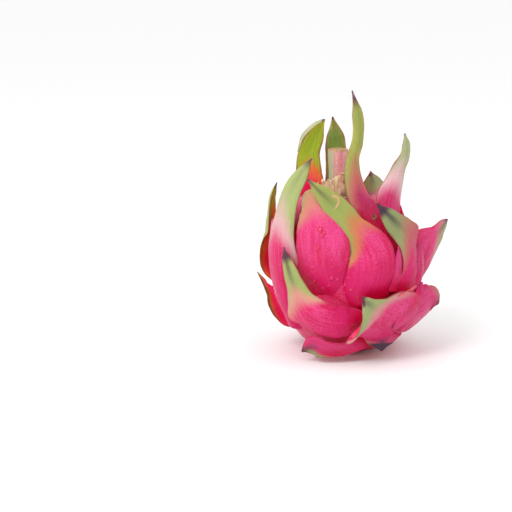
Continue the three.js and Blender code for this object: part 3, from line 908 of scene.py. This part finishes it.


# %% [markdown]
# ## Where on the bract are we?
#
# Every recipe of the peel starts from the same readings. The sheet's own chart says how far along
# the bract and how far across it a point lies, and each bract carries its three notes on its faces.
# Then come the noises: clouds and a fine grain, and fibres and wrinkles that run along the bract.
# The last reading says how open the surface is, and falls where two bracts press together: it is used to
# paint shade into the creases.

# %% The readings
CLOUD_SCALE = 70
GRAIN_SCALE = 1800
FIBRE_STRETCH = (3, 40, 1)
WRINKLE_STRETCH = (3, 12, 1)
STRAND_DETAIL, STRAND_ROUGHNESS = 3, 0.6
CREASE_SHADE_REACH = 12 * MM
CREASE_SHADE_SAMPLES = 6


def object_place(tree):
    """Where a point lies on the fruit, in metres."""
    return wire(tree, "ShaderNodeTexCoord", {}, "Object")


def split_up(tree, vector):
    """The three numbers of a vector."""
    return wire(tree, "ShaderNodeSeparateXYZ", {0: vector}).node.outputs


def readings(tree):
    """The surface's own measures, for the recipes of the peel."""
    read = {"place": object_place(tree)}
    chart = wire(tree, "ShaderNodeUVMap", {}, uv_map="blade")
    along, across, _ = split_up(tree, chart)
    read["along"] = along
    read["side"] = math_node(tree, "MULTIPLY_ADD", across, 2.0, -1.0)
    read["edge"] = math_node(tree, "ABSOLUTE", read["side"])
    for note, numbers in NOTES.items():
        carried = wire(tree, "ShaderNodeAttribute", {}, "Vector", attribute_name=note)
        read.update(zip(numbers, split_up(tree, carried)))
    read["cloud"] = noise(tree, read["place"], CLOUD_SCALE)
    read["grain"] = noise(tree, read["place"], GRAIN_SCALE)
    for strand, stretch in (("fibre", FIBRE_STRETCH), ("wrinkle", WRINKLE_STRETCH)):
        read[strand] = stretched(tree, chart, stretch, 1.0, STRAND_DETAIL, STRAND_ROUGHNESS)
    # painted shade: how hidden the surface is, so that the creases can be painted darker
    read["crease"] = wire(tree, "ShaderNodeAmbientOcclusion", {"Distance": CREASE_SHADE_REACH}, "AO",
        samples=CREASE_SHADE_SAMPLES)
    return read


print("notes on each bract:", NOTES)

# %% [markdown]
# The most used measure of all is made from them: how green the bract is at a point. It rises along
# the bract, sooner towards the edges, and clouds and fibres fray its border. What these add on the
# average is taken off again.

# %% Greenness
CLOUD_SHARE = 0.1
FIBRE_SHARE = 0.1
EDGE_SHARE = 0.12
ADDED = 0.13


def greenness(tree, read, shift=0.0):
    """0 in the magenta base, 1 in the green tongue, with a cloudy border."""
    here = math_node(tree, "MULTIPLY_ADD", read["side"], read["lean"], read["along"])
    here = math_node(tree, "MULTIPLY_ADD", read["cloud"], CLOUD_SHARE, here)
    here = math_node(tree, "MULTIPLY_ADD", read["fibre"], FIBRE_SHARE, here)
    square = math_node(tree, "MULTIPLY", read["side"], read["side"])
    here = math_node(tree, "MULTIPLY_ADD", square, EDGE_SHARE, here)
    middle = math_node(tree, "ADD", read["green_from"], ADDED + shift)
    low = math_node(tree, "MULTIPLY_ADD", read["softness"], -0.5, middle)
    high = math_node(tree, "MULTIPLY_ADD", read["softness"], 0.5, middle)
    return wire(tree, "ShaderNodeMapRange", {"Value": here, "From Min": low, "From Max": high})


# %% [markdown]
# ## The skin
#
# The skin is waxy, with a fine grain and a little light inside. It is glossier in some patches, as
# if wet, and small lumps, wrinkles and the grain stand up from it.

# %% The shader of the skins
WAXY = {
    "Specular IOR Level": 0.18,
    "Subsurface Weight": 0.3,
    "Subsurface Radius": (1, 0.25, 0.2),
    "Subsurface Scale": 3 * MM,
    "Coat Roughness": 0.3,
}
WET_SCALE = 130
WETNESS = 0.16
GRAIN_SMOOTHER, GRAIN_ROUGHER = 0.08, 0.1
CLOUD_RELIEF = 3.0
WRINKLE_RELIEF = 4.0
RELIEF_STRENGTH = 0.6


def emboss(tree, relief, strength, height):
    """Make a pattern stand up from the surface, by about this height in metres."""
    return wire(tree, "ShaderNodeBump", {"Strength": strength, "Distance": height, "Height": relief})


def skin_finish(tree, colour, read, rough, relief, coat):
    """Give a skin its colour, mean roughness, height of relief in metres, and coat."""
    gloss = ramp(tree, read["grain"], 0.35, 0.65, rough - GRAIN_SMOOTHER, rough + GRAIN_ROUGHER)
    wet = ramp(tree, noise(tree, read["place"], WET_SCALE), 0.52, 0.62, 0.0, WETNESS)
    lumpy = math_node(tree, "MULTIPLY_ADD", read["cloud"], CLOUD_RELIEF, read["grain"])
    lumpy = math_node(tree, "MULTIPLY_ADD", read["wrinkle"], WRINKLE_RELIEF, lumpy)
    shade(tree, WAXY)
    shade(tree, {
        "Base Color": colour,
        "Roughness": math_node(tree, "SUBTRACT", gloss, wet),
        "Normal": emboss(tree, lumpy, RELIEF_STRENGTH, relief),
        "Coat Weight": coat,
    })


# %% [markdown]
# Backs and linings are layered in the same order: a base, a band and the green, by greenness, and
# over these a dark streak on the keel, a dark tip and dark edges.

# %% The layers of a bract
PURPLE, BROWN = paint("#43303F"), paint("#8A5048")
TIP_FADE = 0.07
STREAK_LENGTH = 0.24
STREAK_STRENGTH = 0.8


def dark_tip(tree, read, colour):
    """Turn the tip purple."""
    far = math_node(tree, "ADD", read["tip_from"], TIP_FADE)
    return lay(tree, colour, PURPLE, read["along"], read["tip_from"], far)


def bract_colour(tree, read, base, band, green, shift=0.0):
    """The shared layering: base, band and green by greenness, then the streak, tip and edge."""
    ripe = greenness(tree, read, shift)
    colour = lay(tree, base, band, ripe, 0.0, 0.5)
    colour = lay(tree, colour, green, ripe, 0.4, 1.0)
    keel = ramp(tree, read["edge"], 0.55, 0.0, 0.0, STREAK_STRENGTH)
    keel = math_node(tree, "MULTIPLY", keel, read["streak"])
    near = math_node(tree, "SUBTRACT", read["tip_from"], STREAK_LENGTH)
    keel = math_node(tree, "MULTIPLY", keel, ramp(tree, read["along"], near, read["tip_from"]))
    colour = dark_tip(tree, read, blend(tree, keel, colour, PURPLE))
    margin = math_node(tree, "MULTIPLY", ramp(tree, read["edge"], 0.8, 1.0), read["dark_edge"])
    margin = math_node(tree, "MULTIPLY", margin, ramp(tree, ripe, 0.0, 1.0))
    return blend(tree, margin, colour, BROWN)


# %% [markdown]
# The base of a back is magenta with pale flecks, in hotter and deeper patches. Fibres and wrinkles draw
# light and dark lines along it, and it is darker at its edges and its foot, and in the creases it is
# painted deep red as shade.

# %% The backs
MAGENTA, DEEP, FLECK = paint("#CC0052"), paint("#BC0038"), paint("#DC5084")
HOT_PINK, COOL_PINK, FOOT = paint("#DC4288"), paint("#C0447A"), paint("#C4005A")
GARNET = paint("#7C1038")
ORANGE, WAX, DUSTY = paint("#C07848"), paint("#DCB8BC"), paint("#B45C64")
LIME, SAGE, OLIVE = paint("#9CA64E"), paint("#8A9270"), paint("#5E7832")
PALE_GREEN = paint("#C4D4A4")
PATCH_SCALE = 60
COOL_SHARE = 0.55
PALE_SHARE = 0.4


def paler(tree, read, green):
    """Make a green paler on the bracts that are noted as pale."""
    return blend(tree, math_node(tree, "MULTIPLY", read["pale"], PALE_SHARE), green, PALE_GREEN)


def mix_skin(which, recipe):
    """Mix one of the peel's skins by its recipe."""
    tree = tree_of(skins[which])
    recipe(tree, readings(tree))
    print(skins[which].name, "has", len(tree.nodes), "nodes")


def back_recipe(tree, read):
    """Layer the base, then mix the band and the green."""
    patches = noise(tree, read["place"], PATCH_SCALE)
    base = lay(tree, MAGENTA, FLECK, read["grain"], 0.45, 0.6)
    base = lay(tree, base, HOT_PINK, patches, 0.5, 0.7, most=0.4)
    base = lay(tree, base, DEEP, patches, 0.5, 0.3, most=0.7)
    base = blend(tree, math_node(tree, "MULTIPLY", read["cool"], COOL_SHARE), base, COOL_PINK)
    base = lay(tree, base, HOT_PINK, read["fibre"], 0.5, 0.72, most=0.35)
    base = lay(tree, base, DEEP, read["wrinkle"], 0.5, 0.36, most=0.6)
    base = lay(tree, base, FLECK, read["wrinkle"], 0.55, 0.68, most=0.6)
    base = lay(tree, base, HOT_PINK, read["along"], 0.35, 0.65, most=0.25)
    base = lay(tree, base, GARNET, read["pale"], 0.0, -1.0)
    base = lay(tree, base, DEEP, read["edge"], 0.7, 1.0, most=0.6)
    base = lay(tree, base, FOOT, read["along"], 0.5, 0.15, most=0.85)
    # painted shade: deep red laid into the creases, where the neighbouring bracts hide the light
    base = lay(tree, base, DEEP, read["crease"], 0.95, 0.5)
    band = blend(tree, read["warm"], DUSTY, ORANGE)
    band = blend(tree, read["pale"], band, WAX)
    green = blend(tree, read["cool"], LIME, SAGE)
    green = lay(tree, green, OLIVE, read["fibre"], 0.35, 0.65, most=0.3)
    colour = bract_colour(tree, read, base, band, paler(tree, read, green))
    skin_finish(tree, colour, read, rough=0.42, relief=0.3 * MM, coat=0.05)


mix_skin(BACK, back_recipe)

# %% [markdown]
# The inside of a bract faced the young bud and not the sun. It is a cleaner, wetter red, and its
# green is more vivid and begins a little later than on the back.

# %% The linings
CRIMSON, EMBER, VIVID = paint("#FF2C6C"), paint("#FF7848"), paint("#A0B81C")
LINING_SHIFT = 0.1


def lining_recipe(tree, read):
    """One clean red, then the band and the green."""
    band = blend(tree, read["warm"], DUSTY, EMBER)
    green = paler(tree, read, blend(tree, read["cool"], VIVID, OLIVE))
    colour = bract_colour(tree, read, CRIMSON, band, green, LINING_SHIFT)
    skin_finish(tree, colour, read, rough=0.3, relief=0.3 * MM, coat=0.35)


mix_skin(LINING, lining_recipe)

# %% [markdown]
# The rim is a fine line, red at the base and brown where the bract is green. The body shows only in the
# gaps, so it is plain magenta, with painted shade in its creases and painted shade down in the navel round
# the stump.

# %% The rim and the body
RIM_RED, NAVEL_SHADE = paint("#C42C5C"), paint("#4A1226")
NAVEL_OUTER, NAVEL_INNER = 20 * MM, 15 * MM
NAVEL_LOW, NAVEL_HIGH = 70 * MM, 78 * MM


def from_stump(tree, where):
    """How far a point lies from the upright line through the stump's middle, in metres."""
    middle = tuple(stump_middle * MM)
    out = wire(tree, "ShaderNodeVectorMath", {0: where, 1: middle}, operation="SUBTRACT")
    flat = wire(tree, "ShaderNodeVectorMath", {0: out, 1: (1, 1, 0)}, operation="MULTIPLY")
    return wire(tree, "ShaderNodeVectorMath", {0: flat}, "Value", operation="LENGTH")


def rim_recipe(tree, read):
    """Red, then brown by greenness."""
    colour = dark_tip(tree, read, blend(tree, greenness(tree, read), RIM_RED, BROWN))
    skin_finish(tree, colour, read, rough=0.45, relief=0.2 * MM, coat=0.05)


def body_recipe(tree, read):
    """Magenta with flecks, with painted shade in the creases and in the navel."""
    base = lay(tree, MAGENTA, FLECK, read["grain"], 0.42, 0.62, most=0.7)
    # painted shade: deep red in the creases between the bracts
    base = lay(tree, base, DEEP, read["crease"], 0.95, 0.45)
    _, _, height = split_up(tree, read["place"])
    near = ramp(tree, from_stump(tree, read["place"]), NAVEL_OUTER, NAVEL_INNER)
    inside = math_node(tree, "MULTIPLY", near, ramp(tree, height, NAVEL_LOW, NAVEL_HIGH))
    # painted shade: the navel is a recess round the stump, so its colour is painted nearly black
    base = blend(tree, inside, base, NAVEL_SHADE)
    skin_finish(tree, base, read, rough=0.4, relief=0.3 * MM, coat=0.15)


mix_skin(RIM, rim_recipe)
mix_skin(CORE, body_recipe)

# %% [markdown]
# A bead is juice, as magenta as the skin, smooth and wet. The scar is dry cork in two browns.

# %% The beads and the scar
JUICE, CORK_DARK, CORK_LIGHT = paint("#C8004C"), paint("#6A2C38"), paint("#A0603C")
CORK_SCALE = 700


def scar_recipe(tree, read):
    """Two browns in small spots."""
    spots = noise(tree, read["place"], CORK_SCALE)
    colour = lay(tree, CORK_DARK, CORK_LIGHT, spots, 0.45, 0.6)
    skin_finish(tree, colour, read, rough=0.4, relief=0.2 * MM, coat=0.1)


mix_skin(SCAR, scar_recipe)
shade(tree_of(skins[BEAD]), {"Base Color": JUICE, "Roughness": 0.08, "Coat Weight": 0.25})
print(skins[BEAD].name, "needs no other node")

# %% [markdown]
# ## The stump and the scrap
#
# The stalk's left side is still green. The rest has turned pink, in soft upright stripes with pale specks,
# and its cut end has dried to brown, with painted shade in the pit at its heart.

# %% The finish of the stump
STRAW, TAN, BARK, HEART_SHADE = paint("#F4DCB0"), paint("#C09468"), paint("#A88058"), paint("#33201C")
STALK_GREEN, STALK_PINK, STALK_OLIVE = paint("#A0A47C"), paint("#D88490"), paint("#D8A49C")
STRIPE_STRETCH = (1, 1, 0.1)
STRIPE_SCALE = 420
STRIPE_RELIEF = 2.0
SPECK_SCALE = 900
REMAINS_RELIEF = 0.4 * MM
# how far from the left side the green ends and is full, and how far the stripes move its border
GREEN_END, GREEN_FULL, GREEN_WAVER = 7 * MM, 2 * MM, 3 * MM
# how deep the rim's brown runs down the side, and how far the specks move its border
RIM_DEPTH, RIM_WAVER = 0.6 * MM, 1.6 * MM
END_WIDTH = 0.86
END_DEPTH = 4.5 * MM
HEART_OUTER, HEART_INNER = 2.2 * MM, 1 * MM


def make_stump_flesh(skin):
    """Striped sides, green on the left, and a dried end with painted shade in its heart."""
    tree = tree_of(skin)
    spot = object_place(tree)
    sideways, _, height = split_up(tree, spot)
    stripes = stretched(tree, spot, STRIPE_STRETCH, STRIPE_SCALE)
    specks = noise(tree, spot, SPECK_SCALE)
    colour = lay(tree, STALK_OLIVE, STALK_PINK, stripes, 0.4, 0.6)
    colour = lay(tree, colour, STRAW, specks, 0.58, 0.68, most=0.5)
    border = math_node(tree, "MULTIPLY_ADD", stripes, GREEN_WAVER, sideways)
    left = stump_low.x
    colour = lay(tree, colour, STALK_GREEN, border, left + GREEN_END, left + GREEN_FULL)
    dried = lay(tree, TAN, BARK, specks, 0.4, 0.6)
    border = math_node(tree, "MULTIPLY_ADD", specks, RIM_WAVER, height)
    colour = lay(tree, colour, dried, border, stump_high.z - RIM_DEPTH, stump_high.z)
    away = from_stump(tree, spot)
    top = math_node(tree, "GREATER_THAN", height, stump_high.z - END_DEPTH)
    inside = math_node(tree, "LESS_THAN", away, stump_radius * END_WIDTH)
    colour = blend(tree, math_node(tree, "MULTIPLY", inside, top), colour, dried)
    # painted shade: the pit at the middle of the cut end is painted near-black
    heart_shade = math_node(tree, "MULTIPLY", ramp(tree, away, HEART_OUTER, HEART_INNER), top)
    relief = math_node(tree, "MULTIPLY_ADD", stripes, STRIPE_RELIEF, specks)
    shade(tree, {
        "Base Color": blend(tree, heart_shade, colour, HEART_SHADE),
        "Roughness": 0.55,
        "Normal": emboss(tree, relief, 0.7, REMAINS_RELIEF),
    })


# %% [markdown]
# The scrap is the colour of straw all over, with brown spots where it has begun to rot. The shred
# on the front tongue has the same finish, darker.

# %% The finish of the scrap and the shred
PAPER = paint("#E8D0A8")
BLOTCH_SCALE, BLOTCH_DETAIL, BLOTCH_ROUGHNESS = 500, 4, 0.7
FIBRE_SCALE = 1500


def make_straw(skin, dry=STRAW):
    """Dry, blotched straw."""
    tree = tree_of(skin)
    spot = object_place(tree)
    blotches = noise(tree, spot, BLOTCH_SCALE, BLOTCH_DETAIL, BLOTCH_ROUGHNESS)
    colour = lay(tree, dry, BARK, blotches, 0.56, 0.7)
    colour = lay(tree, colour, PAPER, noise(tree, spot, FIBRE_SCALE), 0.45, 0.3, most=0.5)
    shade(tree, {
        "Base Color": colour,
        "Roughness": 0.85,
        "Normal": emboss(tree, blotches, 0.8, REMAINS_RELIEF),
    })


make_straw(skins[SHRED], TAN)
for piece, make_finish in ((stump, make_stump_flesh), (scrap, make_straw)):
    finish = bpy.data.materials.new(f"{piece.name} finish")
    make_finish(finish)
    piece.data.materials.append(finish)
    print(piece.name, "is finished")

# %% [markdown]
# ## The camera
#
# The fruit is looked at from a little above, through a long lens, so that it keeps its true
# proportions. First the camera is aimed at the fruit's middle. Then it is turned about its own
# axes, first left and then down, until the fruit stands to the right of the picture's middle and a
# little above it. A pan of this kind leaves the horizon almost level.

# %% Camera
CAMERA_DISTANCE = 900.0
CAMERA_ELEVATION = 10.0
LENS_PIXELS = 1698.0
SENSOR_WIDTH = 36
PICTURE_PIXELS = 512
LOOK_AT = Vector((AXIS_X + 3.7, AXIS_Y, 66.6))
LOOK_AT_PIXEL = (352, 225)
NEAREST = 0.05

eye = LOOK_AT + CAMERA_DISTANCE * direction(0, CAMERA_ELEVATION)
pan_left = math.atan((LOOK_AT_PIXEL[0] - PICTURE_PIXELS / 2) / LENS_PIXELS)
pan_down = math.atan((PICTURE_PIXELS / 2 - LOOK_AT_PIXEL[1]) / LENS_PIXELS)
level = Matrix.Rotation(math.radians(90 - CAMERA_ELEVATION), 4, "X")
turned = level @ Matrix.Rotation(pan_left, 4, "Y") @ Matrix.Rotation(-pan_down, 4, "X")
bpy.ops.object.camera_add(location=eye * MM, rotation=turned.to_euler())
camera = bpy.context.object
camera.data.sensor_width = SENSOR_WIDTH
camera.data.lens = SENSOR_WIDTH * LENS_PIXELS / PICTURE_PIXELS
camera.data.clip_start = NEAREST
bpy.context.scene.camera = camera
bpy.context.scene.view_settings.view_transform = "Standard"
print("the lens is", round(camera.data.lens, 1), "mm long")

# %% [markdown]
# ## The light and the floor
#
# The light is a white tent: as bright from below, off the floor, as from the sky. One large soft
# lamp from the upper left adds the gentle modelling and the wet glints.

# %% Light and floor
TENT_STRENGTH = 1.0
LAMP_PLACE = (-0.5, -0.75, 0.8)
LAMP_AIM = Vector((0, 0, 0.06))
LAMP_SIZE = 0.5
LAMP_POWER = 6
FLOOR_SIZE = 24
BOARD_WHITE = (0.96, 0.96, 0.96, 1)

world = bpy.data.worlds.new("studio")
bpy.context.scene.world = world
tent = tree_of(world)
feed(tent, tent.nodes["Background"], {"Color": (1, 1, 1, 1), "Strength": TENT_STRENGTH})

bpy.ops.object.light_add(type="AREA", location=LAMP_PLACE)
lamp = bpy.context.object
lamp.data.size = LAMP_SIZE
lamp.data.energy = LAMP_POWER
lamp.rotation_euler = (LAMP_AIM - lamp.location).to_track_quat("-Z", "Y").to_euler()

bpy.ops.mesh.primitive_plane_add(size=FLOOR_SIZE)
floor = bpy.context.object
floor.name = "floor"
board = bpy.data.materials.new("pale board")
shade(tree_of(board), {"Base Color": BOARD_WHITE, "Roughness": 0.9})
floor.data.materials.append(board)
print("light and floor are ready")
